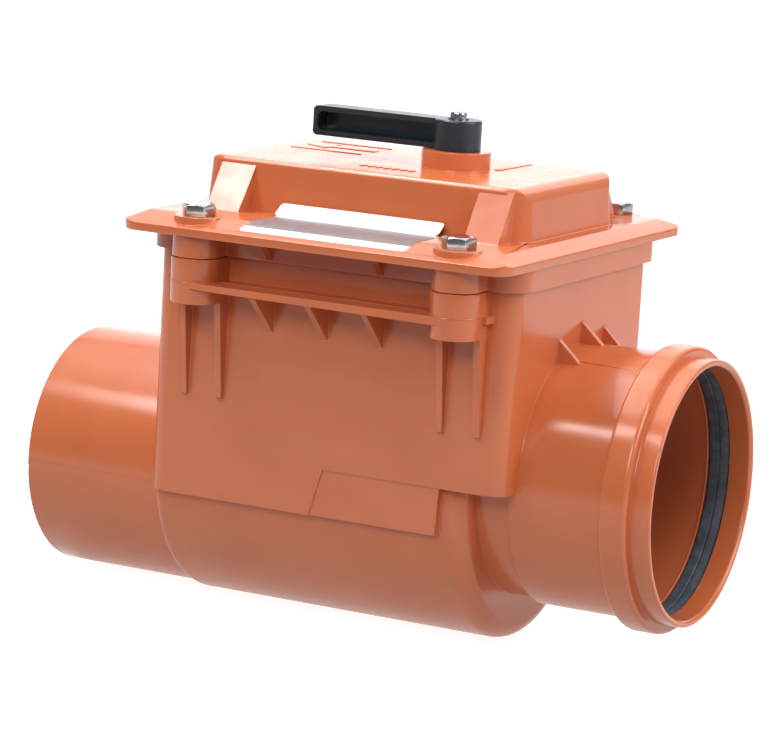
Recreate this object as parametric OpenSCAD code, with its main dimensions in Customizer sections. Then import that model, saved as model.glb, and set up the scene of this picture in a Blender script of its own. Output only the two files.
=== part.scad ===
// Backwater valve for a gravity drain. A chamber with a spigot outlet and a push-fit socket inlet holds a
// swing flap that lets water out and shuts when it flows back. A lever on the bolted cover locks the flap.
// Millimetres, +Z up. The outlet axis is the X axis, its end face is at x = 0, and the inlet is at the +X end.

/* [Drain pipe] */
// Outside diameter of the pipe that the valve joins
pipe_d = 110; // [100:1:125]
// Height of the inlet axis above the outlet axis
axis_step = 21; // [16:1:26]

/* [Outlet spigot] */
// Length of the spigot in front of the chamber
spigot_len = 73; // [50:1:120]
// Wall of the spigot
spigot_wall = 3.2; // [2.6:0.1:4.5]
// Rounding of the spigot's outer end edge
spigot_edge = 0.8; // [0.4:0.1:1.5]
// Length of the tapered root in front of the chamber
root_len = 1; // [0.8:0.1:3]

/* [Inlet socket] */
// Depth of the socket from its mouth to the pipe stop
socket_depth = 62.2; // [50:0.2:90]
// Clearance round the pipe in the socket
socket_gap = 0.4; // [0.2:0.05:0.8]
// Wall of the socket
socket_wall = 3.2; // [2.6:0.1:4.5]
// Distance from the mouth to the seal bead
bead_inset = 9.4; // [7:0.1:14]
// Width of the seal bead
bead_w = 12.6; // [11:0.1:16]
// Rise of the seal bead above the socket wall
bead_rise = 4.6; // [3.5:0.1:6]
// Rounding of the bead's outer edges
bead_edge = 2; // [1:0.1:3]
// Entry chamfer inside the mouth
mouth_chamfer = 1.2; // [0.6:0.1:2]
// Width of the rubber ring in the bead
ring_w = 9.8; // [8:0.1:10.5]
// Step from the socket wall down to the neck
neck_step = 2.1; // [1:0.1:3]
// Wall of the neck between chamber and socket
neck_wall = 4.1; // [3.5:0.1:5]

/* [Chamber] */
// Outside length of the chamber
chamber_len = 175.6; // [168:0.2:200]
// Wall of the chamber
chamber_wall = 3.5; // [2.8:0.1:4.5]
// Outside radius of the chamber's upright corners
chamber_corner = 8.5; // [6:0.5:12]
// Height of the round belly's axis above the outlet axis
belly_rise = 10.5; // [8:0.5:14]
// Drop of the belly's bottom below the spigot
belly_drop = 1.4; // [1:0.1:3]
// Distance of the belly's end from the inlet wall
belly_inset = 19; // [12:1:28]
// Rounding of the belly's edge at the inlet end
belly_edge = 8; // [4:0.5:12]
// Rounding of the belly's edge at the outlet end
outlet_edge = 5; // [3:0.5:6]
// Step from the belly out to the upright side walls
side_step = 3.6; // [3:0.1:8]
// Distance of the low side walls' end from the belly's end
slab_end = 12.4; // [9:0.2:30]
// Length of the recessed patch at that end of the low side walls
patch_len = 62; // [40:1:80]
// Slant of the patch's edge
patch_slant = 6; // [2:0.5:10]
// Depth of the patch
patch_inset = 0.5; // [0.4:0.1:2]
// Height of the rim above the socket
rim_rise = 36.7; // [36:0.1:50]

/* [Ribs] */
// Thickness of ribs and gussets
rib_t = 3; // [1.8:0.1:3.5]
// Height of the side ledge below the rim
ledge_drop = 18; // [15:0.5:24]
// Thickness of the side ledge
ledge_t = 3; // [2:0.1:4.5]
// Width of the side ledge between the bolt bosses
ledge_w = 21.5; // [18:0.5:22]
// Width of the ledge's tips past the bosses
ledge_tip_w = 6; // [3:0.5:10]
// Half length of the side ledge over its tips
ledge_half = 78; // [77:0.5:79]
// Height of the gussets under the ledge
ledge_gusset_h = 18; // [10:0.5:25]
// Spacing of the gussets under the ledge
gusset_pitch = 27; // [20:0.5:32]
// Length of the upright ribs under a bolt boss
boss_rib_len = 43; // [30:1:60]
// Depth of the boss ribs at the boss
boss_rib_w = 7; // [5:0.5:17]
// Depth of the boss ribs at their foot
boss_rib_foot = 2; // [0.5:0.5:4]
// Spacing of the two ribs under a boss
boss_rib_pitch = 17.6; // [12:0.1:17.8]
// Height of the gussets between the inlet wall and the socket
socket_gusset_h = 9.6; // [6:0.2:14]
// Length of those gussets along the socket
socket_gusset_len = 10.5; // [6:0.5:16]
// Spacing of those gussets across the socket
socket_gusset_pitch = 23.5; // [15:0.5:30]

/* [Cover] */
// Thickness of the cover gasket
gasket_t = 2.5; // [1.5:0.1:4]
// Overhang of the flange past the chamber's end walls
flange_over_x = 5.4; // [5:0.1:12]
// Overhang of the flange past the chamber's side walls
flange_over_y = 25.1; // [22.6:0.1:32]
// Thickness of the flange at its edge
flange_edge_t = 3.7; // [2.5:0.1:6]
// Rise of the flange bevel
flange_rise = 4.3; // [2:0.1:6]
// Width of the bevel along the end edges
bevel_x = 6.8; // [5:0.1:11]
// Width of the bevel along the side edges
bevel_y = 15.6; // [8:0.1:20]
// Corner radius of the flange
flange_corner = 9; // [6:0.5:14]
// Wall of the skirt round the chamber rim
skirt_wall = 3.2; // [2:0.1:4]
// Drop of the skirt and the cover bosses below the flange
skirt_drop = 9.8; // [8:0.1:14]
// Gap between skirt and chamber wall
skirt_gap = 0.3; // [0.2:0.05:0.8]
// Length of the dome
dome_len = 159; // [150:1:162]
// Width of the dome
dome_w = 100; // [90:1:108]
// Rise of the dome above the flange
dome_rise = 22.8; // [18:0.2:30]
// Wall of the dome
dome_wall = 3.6; // [2.8:0.1:4.5]
// Corner radius at the foot of the dome
dome_corner = 11; // [10:0.5:16]
// Rounding of the dome's top edge along its sides
dome_edge = 2.5; // [1.5:0.5:4]
// Rounding of the dome's top edge at its ends
dome_end_edge = 7; // [5:0.5:8]
// Draft of the dome's walls in degrees
dome_draft = 4; // [1:0.5:5]
// Width of the buttresses between dome and bolts
buttress_w = 16.5; // [10:0.5:18]
// Foot of the buttresses out from the dome
buttress_foot = 11.5; // [8:0.5:16]

/* [Cover bolts] */
// Half spacing of the bolts along the chamber
bolt_dx = 63; // [58:0.5:66]
// Shift of the bolts from mid length towards the inlet
bolt_shift = 2; // [0:0.5:3]
// Distance of the bolts out from the side walls
bolt_out = 11.1; // [11:0.1:12]
// Thread diameter of the bolts
bolt_d = 8; // [6:1:8]
// Width across the flats of the bolt heads
bolt_flats = 13; // [10:0.5:14]
// Height of the bolt heads
bolt_head_h = 5.3; // [4:0.1:6]
// Length of the bolts under the head
bolt_len = 35; // [30:1:36]
// Radius of the bolt bosses on the cover
boss_r = 10.7; // [9.5:0.1:11]
// Extra radius of the bolt bosses on the chamber
boss_extra = 0.4; // [0.1:0.1:0.8]
// Height of the bolt bosses on the chamber
boss_h = 20; // [19:0.5:30]
// Outer radius of the threaded inserts
insert_r = 6; // [5.6:0.1:7]
// Length of the threaded inserts
insert_len = 14; // [10:0.5:16]

/* [Seat and flap] */
// Distance of the seat centre from the belly's end
seat_inset = 21; // [19:0.5:27]
// Lean of the seat in degrees
seat_tilt = 10; // [6:0.5:12]
// Wall of the seat sleeve
sleeve_wall = 3.6; // [3:0.1:4.5]
// Width of the seat face
seat_land = 8.4; // [7:0.1:9]
// Thickness of the seat ring
seat_t = 6; // [4:0.5:7]
// Thickness of the flap seal
seal_t = 3; // [2:0.1:4]
// Overlap of the flap retainer on the seal
seal_grip = 3.5; // [2:0.1:4]
// Thickness of the flap
flap_t = 4; // [3:0.1:5]
// Height of the ribs on the flap's back
flap_rib_h = 4.5; // [2:0.1:5]
// Distance of the hinge above the seat ring
hinge_rise = 11; // [10:0.5:14]
// Distance of the hinge out from the seat face
hinge_out = 4; // [2:0.5:6]
// Diameter of the hinge pin
hinge_d = 6; // [4:0.5:8]
// Half length of the flap's hinge barrel
barrel_half = 26; // [18:0.5:30]
// Thickness of the hinge ears
ear_t = 6; // [4:0.5:8]
// Reach of the heel lug from the hinge
lug_len = 24; // [22:0.5:26]
// Width of the heel lug
lug_w = 12; // [8:0.5:16]

/* [Lock] */
// Distance of the spindle from the flap's hinge, towards the outlet
spindle_reach = 34.2; // [33.5:0.1:35.5]
// Diameter of the spindle
spindle_d = 10; // [9:0.5:12]
// Width across the flats of the square ends of the spindle
spindle_flats = 7; // [5.5:0.1:7.5]
// Radius of the spindle boss on the dome
spindle_boss_r = 15.4; // [13:0.2:18]
// Height of the spindle boss above the dome
spindle_boss_h = 8; // [5:0.5:12]
// Length of the spindle guide inside the dome
guide_len = 14; // [13:0.5:18]
// Reach of the locking arm from the spindle axis
arm_len = 17.5; // [16.5:0.5:18.5]
// Width of the locking arm
arm_w = 10; // [8:0.5:12]
// Thickness of the locking arm
arm_t = 8; // [6:0.5:10]

/* [Lever] */
// Reach of the lever from the spindle axis
lever_len = 69.6; // [50:0.2:75]
// Height of the lever
lever_h = 13.4; // [12:0.2:18]
// Width of the lever arm
lever_w = 12; // [9:0.5:16]
// Radius of the lever hub
hub_r = 10.7; // [9:0.1:13]
// Rim round the pocket of the lever
lever_rim = 2.4; // [1.8:0.1:3.5]
// Back wall of the pocket of the lever
lever_back = 2.6; // [2:0.1:4]

/* [Fits] */
// Gap between faces that turn or swing past each other
turn_gap = 0.3; // [0.2:0.05:0.6]
// Radial clearance of turning pins and shafts
run_fit = 0.06; // [0.02:0.01:0.1]
// Radial clearance of fixed pins, screws and inserts
push_fit = 0.05; // [0.02:0.01:0.1]
// Gap between the shut flap seal and its seat
seat_gap = 0.1; // [0.05:0.05:0.3]

/* [Hidden] */
$fn = 96;

// A cut runs past a face by this much, and joined shapes sink into each other by it
over = 0.5;
sink = 0.4;

// Colours
terracotta = [0.76, 0.40, 0.25];
black_plastic = [0.17, 0.19, 0.21];
black_rubber = [0.12, 0.13, 0.14];
zinc = [0.74, 0.75, 0.76];
brass = [0.78, 0.62, 0.32];
grey_plastic = [0.55, 0.57, 0.58];

// Pipe ends
pipe_r = pipe_d / 2;
spigot_bore_r = pipe_r - spigot_wall;
socket_r = pipe_r + socket_gap;
socket_out_r = socket_r + socket_wall;
bead_out_r = socket_out_r + bead_rise;
neck_out_r = socket_out_r - neck_step;
neck_r = neck_out_r - neck_wall;
inlet_x = spigot_len + chamber_len;
mouth_x = inlet_x + socket_depth;
bead_x = mouth_x - bead_inset - bead_w;
ring_x = bead_x + (bead_w - ring_w) / 2;
bead_wall = 2.8;
ring_r = bead_out_r - bead_wall;
ring_gap = 0.1;
ring_edge = 1.1;
mouth_edge = 1;

// Chamber
mid_x = spigot_len + chamber_len / 2;
bolt_mid_x = mid_x + bolt_shift;
gusset_mid_x = mid_x - bolt_shift;
belly_r = pipe_r + belly_drop + belly_rise;
belly_z = belly_rise;
belly_in_r = belly_r - chamber_wall;
belly_end = inlet_x - belly_inset;
slab_x = belly_end - slab_end;
patch_x = slab_x - patch_len;
root_in = 0.1;
half_w = belly_r + side_step;
floor_z = axis_step + chamber_wall;
rim_z = axis_step + socket_out_r + rim_rise;
ledge_z = rim_z - ledge_drop;

// Cover levels
cover_z = rim_z + gasket_t;
flat_z = cover_z + flange_edge_t + flange_rise;
dome_z = flat_z + dome_rise;
dome_in_z = dome_z - dome_wall;
dome_in_edge = 3;
dome_ease = 0.05;
boss_top_z = dome_z + spindle_boss_h;
joint_z = cover_z - skirt_drop;
joint_gap = 0.25;
flange_half_x = chamber_len / 2 + flange_over_x;
flange_half_y = half_w + flange_over_y;
flange_pocket = 2.4;
flange_lip = 3.5;
cover_gusset_w = 8.5;
cover_gusset_up = 0.6;
cover_gusset_h = skirt_drop - cover_gusset_up;

// Bolts
bolt_r = bolt_d / 2;
bolt_y = half_w + bolt_out;
bolt_hole_gap = 0.5;
bolt_hole_r = bolt_r + bolt_hole_gap;
bolt_end_gap = 1;
boss_base_z = joint_z - joint_gap - boss_h;
web_inset = 0.3;
web_half = boss_r - web_inset;
gusset_inset = 3;
gusset_root = 2;
head_corner_r = bolt_flats / sqrt(3);
head_chamfer = 30;

// Seat, hinge and flap, with heights and depths measured square to the leaning seat
sleeve_gap = 0.2;
sleeve_r = neck_r - sleeve_gap;
sleeve_short = 1;
sleeve_end = inlet_x - sleeve_short;
seat_bore_r = sleeve_r - sleeve_wall;
seat_out_r = seat_bore_r + seat_land;
seat_x = belly_end - seat_inset;
oring_groove = 2;
oring_w = 3;
oring_edge = 0.9;
oring_inset = 7;
oring_x = sleeve_end - oring_inset;
hinge_r = hinge_d / 2;
barrel_wall = 3.5;
barrel_r = hinge_r + barrel_wall;
hinge_u = seat_out_r + hinge_rise;
hinge_x = seat_x + hinge_u * sin(seat_tilt) - hinge_out * cos(seat_tilt);
hinge_z = axis_step + hinge_u * cos(seat_tilt) + hinge_out * sin(seat_tilt);
ear_play = 0.8;
ear_in = barrel_half + ear_play;
ear_wall = 4.5;
ear_r = hinge_r + ear_wall;
ear_slope = 0.7;
ear_foot = 17;
clip_t = 0.8;
clip_groove = 0.6;
clip_gap = 0.2;
clip_w = 2;
clip_y = ear_in + ear_t + clip_gap;
pin_tip = 2;
pin_half = clip_y + clip_t + pin_tip;
flap_r = seat_out_r;
flap_face = seat_gap + seal_t;
flap_back = flap_face + flap_t;
flap_rib_t = 3;
flap_rib_y = 17;
flap_rim_w = 4;
flap_neck_half = 20;
flap_neck_root = 14;
seal_edge = 0.8;
seal_out_r = seat_out_r - seal_edge;
seal_under = 4.6;
seal_in_r = seat_bore_r - seal_under;
retainer_lip = 2;
retainer_edge = 0.6;
retainer_lip_r = seal_in_r + seal_grip;
screw_r = 2;
screw_ring_r = 30;
screw_head_r = 3.7;
screw_head_h = 2.6;
screw_edge = 1.17;
screw_short = 0.6;
flap_screw_len = retainer_lip + seal_t + flap_t - screw_short;
lug_h = 8;
lug_rise = 3.7;
lug_top = hinge_z + lug_rise;

// Lock and lever
spindle_x = hinge_x - spindle_reach;
spindle_r = spindle_d / 2;
spindle_bore_r = spindle_r + run_fit;
arm_lift = 0.4;
arm_z = lug_top + arm_lift;
hub_wall = 3;
arm_hub_r = spindle_r + hub_wall;
washer_t = 1;
guide_z = dome_in_z - guide_len;
collar_r = spindle_r + hub_wall;
collar_t = 3;
collar_top = guide_z - turn_gap - washer_t;
guide_wall = 1.5;
guide_r = collar_r + guide_wall;
spindle_groove = 1.4;
spindle_oring_w = 2.2;
spindle_oring_edge = 0.6;
spindle_oring_at = [5, 12];
spindle_oring_z = [for (h = spindle_oring_at) guide_z + h];
lever_z = boss_top_z + turn_gap;
lever_top = lever_z + lever_h;
drive_cap = 4.2;
drive_top = lever_top - drive_cap;
drive_short = 0.2;
drive_gap = 0.05;
lever_screw_len = 11;
lever_corner = 2.6;
lever_washer_t = 0.8;
hub_edge = 1;
washer_over = 1;
arm_screw_len = 12;
arm_screw_end = 1;

// Rounded rectangle, centred
module round_rect(l, w, r) {
    square([l - 2 * r, w], center = true);
    square([l, w - 2 * r], center = true);
    for (sx = [-1, 1], sy = [-1, 1])
        translate([sx * (l / 2 - r), sy * (w / 2 - r)]) circle(r);
}

// Solid round bar along X
module bar_x(x0, x1, r, z = 0) {
    translate([x0, 0, z]) rotate([0, 90, 0]) cylinder(h = x1 - x0, r = r);
}

// Round body along X whose end edges are rounded
module soft_bar_x(x0, x1, r, edge, z = 0) {
    translate([x0, 0, z]) rotate([0, 90, 0]) rotate_extrude() {
        square([r - edge, x1 - x0]);
        translate([0, edge]) square([r, x1 - x0 - 2 * edge]);
        for (h = [edge, x1 - x0 - edge]) translate([r - edge, h]) circle(edge);
    }
}

// Ring of rectangular section whose corners are rounded, along Z
module soft_ring(r0, r1, h, edge) {
    rotate_extrude() translate([(r0 + r1) / 2, h / 2]) round_rect(r1 - r0, h, edge);
}

// Flat ring along Z
module flat_ring(r0, r1, h) {
    difference() {
        cylinder(h = h, r = r1);
        translate([0, 0, -over]) cylinder(h = h + 2 * over, r = r0);
    }
}

// Plate with an outline in the XZ plane, centred on y
module plate_xz(t, y = 0) {
    translate([0, y + t / 2, 0]) rotate([90, 0, 0]) linear_extrude(t) children();
}

// Plate with an outline in the YZ plane, centred on x
module plate_yz(t, x = 0) {
    translate([x - t / 2, 0, 0]) rotate([90, 0, 90]) linear_extrude(t) children();
}

// Copies at the four bolts
module each_bolt() {
    for (sx = [-1, 1], sy = [-1, 1])
        translate([bolt_mid_x + sx * bolt_dx, sy * bolt_y, 0]) children();
}

// Copies on both long sides, the children drawn for the +Y side
module each_side() {
    for (m = [0, 1]) mirror([0, m, 0]) children();
}

// Frame of the leaning seat: its X points upstream and its Z up the seat
module at_seat() {
    translate([seat_x, 0, axis_step]) rotate([0, seat_tilt, 0]) children();
}

// Frame of the hinge axis, turned with the seat
module at_hinge() {
    translate([hinge_x, 0, hinge_z]) children();
}

// Half outline of a drafted wall with a rounded top edge, from the axis out to the foot
module draft_outline(foot, h, edge) {
    cz = h - edge;
    cx = foot - cz * tan(dome_draft) - edge / cos(dome_draft);
    polygon([
        [0, 0], [foot, 0],
        [cx + edge * cos(dome_draft), cz + edge * sin(dome_draft)], [cx, cz], [cx, h], [0, h]
    ]);
    translate([cx, cz]) circle(edge);
}

// Drafted block with rounded upright corners and a rounded top edge
module draft_block(l, w, h, corner, edge) {
    px = l / 2 - corner;
    py = w / 2 - corner;
    quarters = [[1, 1], [-1, 1], [-1, -1], [1, -1]];
    for (i = [0:3]) translate([quarters[i][0] * px, quarters[i][1] * py, 0]) rotate(90 * i)
        rotate_extrude(angle = 90) intersection() {
            draft_outline(corner, h, edge);
            square([corner, h]);
        }
    plate_xz(2 * py) for (m = [0, 1]) mirror([m, 0]) {
        translate([px, 0]) draft_outline(corner, h, edge);
        square([px, h]);
    }
    plate_yz(2 * px) for (m = [0, 1]) mirror([m, 0]) {
        translate([py, 0]) draft_outline(corner, h, edge);
        square([py, h]);
    }
}

// Pan head screw along Z, its head above z = 0
module pan_screw(len) {
    rotate_extrude() {
        square([screw_head_r, screw_head_h - screw_edge]);
        square([screw_head_r - screw_edge, screw_head_h]);
        translate([screw_head_r - screw_edge, screw_head_h - screw_edge]) circle(screw_edge);
    }
    translate([0, 0, -len]) cylinder(h = len + sink, r = screw_r);
}

// Outer form of the chamber above, between and below the pipe axes
module chamber_outside() {
    difference() {
        translate([mid_x, 0, 0]) linear_extrude(rim_z) round_rect(chamber_len, 2 * half_w, chamber_corner);
        plate_xz(2 * half_w + 2 * over) polygon([
            [patch_x, -over], [inlet_x + over, -over],
            [inlet_x + over, axis_step], [patch_x + patch_slant, axis_step]
        ]);
    }
    translate([patch_x - sink, patch_inset - half_w, 0])
        cube([slab_x - patch_x + sink, 2 * (half_w - patch_inset), axis_step + sink]);
    soft_bar_x(mid_x, belly_end, belly_r, belly_edge, belly_z);
    soft_bar_x(spigot_len, belly_end - belly_edge, belly_r, outlet_edge, belly_z);
}

// Space inside the chamber
module chamber_inside() {
    translate([mid_x, 0, floor_z]) linear_extrude(rim_z - floor_z + over)
        round_rect(chamber_len - 2 * chamber_wall, 2 * (half_w - chamber_wall), chamber_corner - chamber_wall);
    belly_x0 = spigot_len + chamber_wall;
    belly_x1 = belly_end - chamber_wall;
    bar_x(belly_x0, belly_x1, belly_in_r, belly_z);
    translate([belly_x0, -belly_in_r, belly_z])
        cube([belly_x1 - belly_x0, 2 * belly_in_r, floor_z - belly_z + over]);
}

// Side ledge with its gussets, the two bolt bosses and their ribs, on the +Y side
module side_works() {
    wall_y = half_w - sink;
    boss_out_r = boss_r + boss_extra;
    boss_top = joint_z - joint_gap;
    translate([mid_x - ledge_half, wall_y, ledge_z - ledge_t])
        cube([2 * ledge_half, ledge_tip_w + sink, ledge_t]);
    translate([bolt_mid_x - bolt_dx, wall_y, ledge_z - ledge_t])
        cube([2 * bolt_dx, ledge_w + sink, ledge_t]);
    for (i = [-1, 0, 1]) plate_yz(rib_t, gusset_mid_x + i * gusset_pitch) polygon([
        [wall_y, ledge_z - ledge_t - ledge_gusset_h], [wall_y, ledge_z - sink],
        [half_w + ledge_w - gusset_inset, ledge_z - sink], [half_w + ledge_w - gusset_inset, ledge_z - ledge_t]
    ]);
    for (sx = [-1, 1]) translate([bolt_mid_x + sx * bolt_dx, 0, 0]) {
        translate([0, bolt_y, boss_base_z]) cylinder(h = boss_h, r1 = boss_out_r - boss_extra, r2 = boss_out_r);
        translate([-web_half, wall_y, boss_base_z]) cube([2 * web_half, bolt_out + sink, boss_h]);
        for (s = [-1, 1]) plate_yz(rib_t, s * boss_rib_pitch / 2) polygon([
            [wall_y, boss_base_z - boss_rib_len], [wall_y, boss_base_z + sink],
            [half_w + boss_rib_w, boss_base_z + sink], [half_w + boss_rib_w, boss_base_z],
            [half_w + boss_rib_foot, boss_base_z - boss_rib_len]
        ]);
    }
}

// Gussets between the inlet wall and the top of the socket
module socket_gussets() {
    wall_x = inlet_x - sink;
    for (i = [-1, 0, 1]) {
        y = i * socket_gusset_pitch;
        foot_z = axis_step + sqrt(socket_out_r * socket_out_r - y * y);
        plate_xz(rib_t, y) polygon([
            [wall_x, foot_z - gusset_root], [inlet_x + socket_gusset_len, foot_z - gusset_root],
            [inlet_x + socket_gusset_len, foot_z], [inlet_x, foot_z + socket_gusset_h],
            [wall_x, foot_z + socket_gusset_h]
        ]);
    }
}

// Socket, seal bead and neck, before they are bored
module socket_outside() {
    bar_x(belly_end - chamber_wall, inlet_x + over, neck_out_r, axis_step);
    bar_x(inlet_x - chamber_wall, bead_x + bead_w, socket_out_r, axis_step);
    soft_bar_x(bead_x + bead_w / 2, mouth_x, socket_out_r, mouth_edge, axis_step);
    soft_bar_x(bead_x, bead_x + bead_w, bead_out_r, bead_edge, axis_step);
}

// Tapered root that leads the spigot into the lower bottom of the belly
module spigot_root() {
    translate([spigot_len - root_len, 0, 0]) rotate([0, 90, 0])
        cylinder(h = root_len + outlet_edge, r1 = pipe_r, r2 = pipe_r + belly_drop - root_in);
}

// Bores of the pipe ends
module pipe_bores() {
    bar_x(-over, spigot_len + chamber_wall + belly_edge, spigot_bore_r);
    bar_x(belly_end - chamber_wall - belly_edge, inlet_x + over, neck_r, axis_step);
    bar_x(inlet_x, mouth_x + over, socket_r, axis_step);
    bar_x(ring_x - ring_gap, ring_x + ring_w + ring_gap, ring_r + ring_gap, axis_step);
    translate([mouth_x - mouth_chamfer, 0, axis_step]) rotate([0, 90, 0])
        cylinder(h = mouth_chamfer + over, r1 = socket_r, r2 = socket_r + mouth_chamfer + over);
}

module valve_body() {
    color(terracotta) difference() {
        union() {
            difference() {
                union() {
                    chamber_outside();
                    spigot_root();
                    each_side() side_works();
                }
                chamber_inside();
            }
            soft_bar_x(0, spigot_len + chamber_wall, pipe_r, spigot_edge);
            socket_outside();
            socket_gussets();
        }
        pipe_bores();
        each_bolt() {
            translate([0, 0, joint_z - insert_len]) cylinder(h = insert_len + over, r = insert_r + push_fit);
            translate([0, 0, flat_z - bolt_len - bolt_end_gap]) cylinder(h = bolt_len, r = bolt_r + push_fit);
        }
    }
}

// Push-fit rubber ring, shown pressed back by the pipe
module socket_seal() {
    color(black_rubber) translate([ring_x, 0, axis_step]) rotate([0, 90, 0]) rotate_extrude() difference() {
        translate([(socket_r + ring_r) / 2, ring_w / 2]) round_rect(ring_r - socket_r, ring_w, ring_edge);
        translate([socket_r - ring_edge / 2, ring_w / 3]) circle(ring_edge);
    }
}

// Threaded inserts in the bosses of the chamber
module bolt_inserts() {
    top = joint_z - joint_gap;
    color(brass) each_bolt() translate([0, 0, joint_z - insert_len])
        flat_ring(bolt_r + push_fit, insert_r, top - joint_z + insert_len);
}

// Flange plate, bevelled along all four edges
module cover_flange() {
    h = flat_z - cover_z;
    intersection() {
        plate_yz(2 * flange_half_x) polygon([
            [-flange_half_y, 0], [flange_half_y, 0], [flange_half_y, flange_edge_t],
            [flange_half_y - bevel_y, h], [bevel_y - flange_half_y, h], [-flange_half_y, flange_edge_t]
        ]);
        plate_xz(2 * flange_half_y) polygon([
            [-flange_half_x, 0], [flange_half_x, 0], [flange_half_x, flange_edge_t],
            [flange_half_x - bevel_x, h], [bevel_x - flange_half_x, h], [-flange_half_x, flange_edge_t]
        ]);
        flange_outline(0, h);
    }
}

// Plan of the flange, drawn in from its edge
module flange_outline(inset, h) {
    linear_extrude(h)
        round_rect(2 * (flange_half_x - inset), 2 * (flange_half_y - inset), flange_corner - inset);
}

// Wall that hangs round the rim of the chamber
module cover_skirt(h) {
    grow = 2 * (skirt_gap + skirt_wall);
    linear_extrude(h) round_rect(chamber_len + grow, 2 * half_w + grow, chamber_corner + grow / 2);
}

// Buttress from the top edge of the dome down to the flange, on the +Y side
module buttress() {
    top_y = dome_w / 2 - dome_rise * tan(dome_draft) - dome_edge / 2;
    top_z = dome_z - dome_edge / 4;
    plate_yz(buttress_w) polygon([
        [top_y - dome_edge, flat_z - sink], [top_y - dome_edge, top_z], [top_y, top_z],
        [dome_w / 2 + buttress_foot, flat_z], [dome_w / 2 + buttress_foot, flat_z - sink]
    ]);
}

// Dome, its top edge rounded more at the ends than along the sides
module dome_outside() {
    h = dome_rise + sink;
    intersection() {
        draft_block(dome_len, dome_w, h, dome_corner, dome_edge);
        plate_xz(dome_w + 2 * over) for (m = [0, 1]) mirror([m, 0])
            draft_outline(dome_len / 2 + dome_ease, h + dome_ease, dome_end_edge);
    }
}

module cover() {
    rim_grow = 2 * skirt_gap;
    color(terracotta) difference() {
        union() {
            difference() {
                translate([mid_x, 0, cover_z]) cover_flange();
                difference() {
                    translate([mid_x, 0, cover_z - over])
                        flange_outline(flange_lip, flange_pocket + over);
                    translate([mid_x, 0, cover_z - 2 * over]) cover_skirt(flange_pocket + 3 * over);
                }
            }
            difference() {
                translate([mid_x, 0, joint_z]) cover_skirt(skirt_drop + flange_edge_t);
                translate([mid_x, 0, joint_z - over]) linear_extrude(skirt_drop + over) round_rect(
                    chamber_len + rim_grow, 2 * half_w + rim_grow, chamber_corner + skirt_gap);
            }
            each_bolt() translate([0, 0, joint_z]) cylinder(h = flat_z - joint_z, r = boss_r);
            each_side() {
                for (sx = [-1, 1]) {
                    translate([bolt_mid_x + sx * bolt_dx - web_half, half_w + skirt_gap + sink, joint_z])
                        cube([2 * web_half, bolt_out - skirt_gap - sink, skirt_drop + sink]);
                    translate([bolt_mid_x + sx * bolt_dx, 0, 0]) buttress();
                    plate_yz(rib_t, gusset_mid_x + sx * gusset_pitch) cover_gusset_outline();
                }
            }
            translate([mid_x, 0, flat_z - sink]) dome_outside();
            translate([spindle_x, 0, dome_z - sink]) cylinder(h = spindle_boss_h + sink, r = spindle_boss_r);
        }
        translate([mid_x, 0, cover_z - over]) difference() {
            draft_block(dome_len - 2 * dome_wall, dome_w - 2 * dome_wall, dome_in_z - cover_z + over,
                dome_corner - dome_wall, dome_in_edge);
            translate([spindle_x - mid_x, 0, guide_z - cover_z + over])
                cylinder(h = guide_len + over, r = guide_r);
        }
        translate([spindle_x, 0, guide_z - over])
            cylinder(h = boss_top_z - guide_z + 2 * over, r = spindle_bore_r);
        each_bolt() translate([0, 0, joint_z - over])
            cylinder(h = flat_z - joint_z + 2 * over, r = bolt_hole_r);
    }
}

// Small gusset between skirt and flange, on the +Y side
module cover_gusset_outline() {
    y0 = half_w + skirt_gap + skirt_wall;
    polygon([
        [y0 - sink, cover_z - cover_gusset_h], [y0 - sink, cover_z + flange_pocket + sink],
        [y0 + cover_gusset_w, cover_z + flange_pocket + sink], [y0 + cover_gusset_w, cover_z]
    ]);
}

// Flat gasket between rim and cover
module cover_gasket() {
    color(black_rubber) translate([mid_x, 0, rim_z]) linear_extrude(gasket_t) difference() {
        round_rect(chamber_len, 2 * half_w, chamber_corner);
        round_rect(chamber_len - 2 * chamber_wall, 2 * (half_w - chamber_wall), chamber_corner - chamber_wall);
    }
}

module cover_bolts() {
    color(zinc) each_bolt() translate([0, 0, flat_z]) {
        intersection() {
            rotate(head_chamfer / 2) cylinder(h = bolt_head_h, r = head_corner_r, $fn = 6);
            cylinder(h = bolt_head_h, r1 = bolt_flats / 2 + bolt_head_h / tan(head_chamfer) - sink,
                r2 = bolt_flats / 2 - sink);
        }
        translate([0, 0, -bolt_len]) cylinder(h = bolt_len + sink, r = bolt_r);
    }
}

// Ear of the hinge, standing on the upstream side of the seat ring
module hinge_ear() {
    plate_xz(ear_t) {
        translate([-hinge_out, hinge_u]) circle(ear_r);
        polygon([
            [seat_t, seat_out_r - ear_foot], [0, seat_out_r - ear_foot], [0, seat_out_r - ear_wall],
            [-hinge_out - ear_r * ear_slope, hinge_u - ear_r * ear_slope], [-hinge_out, hinge_u],
            [-hinge_out + ear_r * ear_slope, hinge_u + ear_r * ear_slope], [seat_t, seat_out_r]
        ]);
    }
}

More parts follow.
